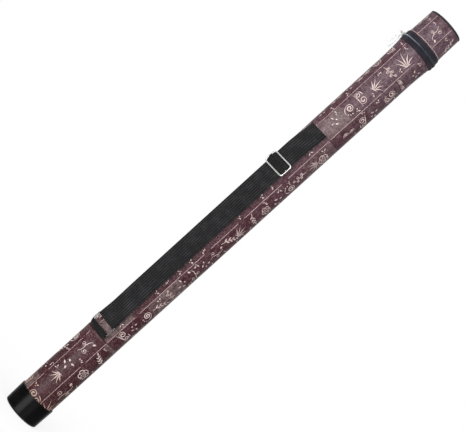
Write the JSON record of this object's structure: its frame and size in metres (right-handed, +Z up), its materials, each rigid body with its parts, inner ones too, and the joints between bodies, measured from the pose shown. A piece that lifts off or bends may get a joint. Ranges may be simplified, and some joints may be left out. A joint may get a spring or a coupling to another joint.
{
  "type": "flute case",
  "caption": "Tall round flute case: stiff tube in a leather-look cover on a moulded foot cap, zipped hinged lid on top, adjustable webbing carrying strap with slide buckle and ring.",
  "frame": {"origin": "centre of the foot cap's flat underside", "axes": "+Z up along the tube towards the zipped lid; -Y towards the picture's viewer; -X towards the zip slider of the closed zip"},
  "size_m": [0.0753, 0.0762, 0.86],
  "materials": {
    "tube_board": "plain board",
    "lining_velvet": "short pile",
    "foam_pad": "covered foam",
    "cap_plastic": "semi-gloss",
    "cover_leather_low": "fine grain, semi-matt, printed",
    "cover_leather_mid": "fine grain, semi-matt, printed",
    "cover_leather_high": "fine grain, semi-matt, printed",
    "zip_tape": "woven",
    "zip_coil": "nylon coil",
    "zip_metal": "plated, satin",
    "bright_metal": "plated, bright",
    "webbing": "ribbed webbing",
    "piping_leather": "smooth"
  },
  "bodies": {
    "case_body": {"rigid_tube": "tube_board", "tube_lining": "lining_velvet", "bottom_pad": "foam_pad", "bottom_cap": "cap_plastic", "cover_lower": "cover_leather_low", "cover_middle": "cover_leather_mid", "cover_upper": "cover_leather_high", "zip_tape_lower": "zip_tape", "zip_coil_lower": "zip_coil", "zip_stop_lower_closed_end": "zip_metal", "zip_stop_lower_open_end": "zip_metal", "hinge_strip_lower": "cover_leather_high", "shoulder_strap": "webbing", "strap_return_run": "webbing", "ring_tab": "webbing"},
    "strap_ring": {"strap_ring": "bright_metal"},
    "strap_slide": {"slide_buckle": "bright_metal", "strap_over_bar": "webbing", "strap_end_sleeve": "webbing"},
    "lid": {"lid_tube": "tube_board", "lid_lining": "lining_velvet", "lid_pad": "foam_pad", "lid_board": "tube_board", "lid_cover": "cover_leather_high", "lid_end_disc": "cover_leather_high", "lid_piping": "piping_leather", "zip_tape_upper": "zip_tape", "zip_coil_upper": "zip_coil", "zip_stop_upper_closed_end": "zip_metal", "zip_stop_upper_open_end": "zip_metal", "hinge_strip_upper": "cover_leather_high"},
    "zip_slider": {"slider_body": "zip_metal", "slider_crown": "zip_metal"},
    "zip_puller": {"pull_tab": "bright_metal"}
  },
  "joints": [
    {"name": "lid_hinge", "type": "hinge", "parent": "case_body", "child": "lid", "pos_m": [-0.01833, 0.02744, 0.8046], "axis": [-0.8315, -0.5556, 0], "range_deg": [0, 170]},
    {"name": "zip_travel", "type": "hinge", "parent": "case_body", "child": "zip_slider", "pos_m": [0, 0, 0.8046], "axis": [0, 0, 1], "range_deg": [0, 250]},
    {"name": "puller_swing", "type": "hinge", "parent": "zip_slider", "child": "zip_puller", "pos_m": [-0.0384, 0, 0.8046], "axis": [0, 1, 0], "range_deg": [0, 165]},
    {"name": "strap_adjust", "type": "slide", "parent": "case_body", "child": "strap_slide", "axis": [0, 0, 1], "range_m": [-0.28, 0.01], "deforming": ["strap_return_run"]},
    {"name": "ring_swing", "type": "hinge", "parent": "case_body", "child": "strap_ring", "pos_m": [-0.01547, -0.02971, 0.1762], "axis": [0.887, -0.4617, 0], "range_deg": [-1.5, 1.5]}
  ]
}
